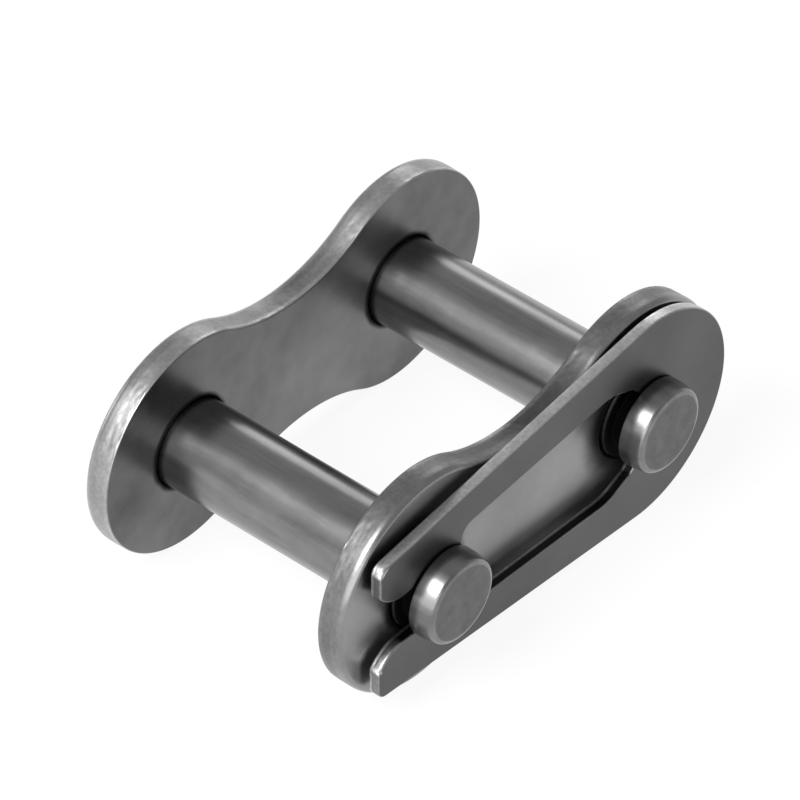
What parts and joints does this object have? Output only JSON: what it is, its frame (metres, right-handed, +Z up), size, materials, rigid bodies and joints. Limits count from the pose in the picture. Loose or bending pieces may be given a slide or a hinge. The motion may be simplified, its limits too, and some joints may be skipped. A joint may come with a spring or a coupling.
{
  "type": "roller chain connecting link",
  "caption": "Spring-clip connecting link for a roller chain: a waisted back plate with riveted grooved pins, a slip-on cover plate and a flat spring clip",
  "frame": {"origin": "centre of the bounding box on the surface that the two plates' lobes stand on", "axes": "X along the chain, towards the clip's closed end; Y along the pins, with the back plate at +Y and the spring clip at -Y; Z up, across the plates"},
  "size_m": [0.034, 0.0232, 0.0149],
  "materials": {
    "plate_steel": "satin stamped sheet, tumbled",
    "cover_steel": "satin stamped sheet, tumbled",
    "pin_steel": "ground and tumbled",
    "clip_steel": "satin spring steel"
  },
  "bodies": {
    "link": {"back_plate": "plate_steel", "pin_left": "pin_steel", "pin_right": "pin_steel", "spring_clip": "clip_steel"},
    "cover": {"cover_plate": "cover_steel"}
  },
  "joints": [
    {"name": "cover_slide", "type": "slide", "parent": "link", "child": "cover", "axis": [0, 1, 0], "range_m": [-0.0003, 0.0162]}
  ]
}
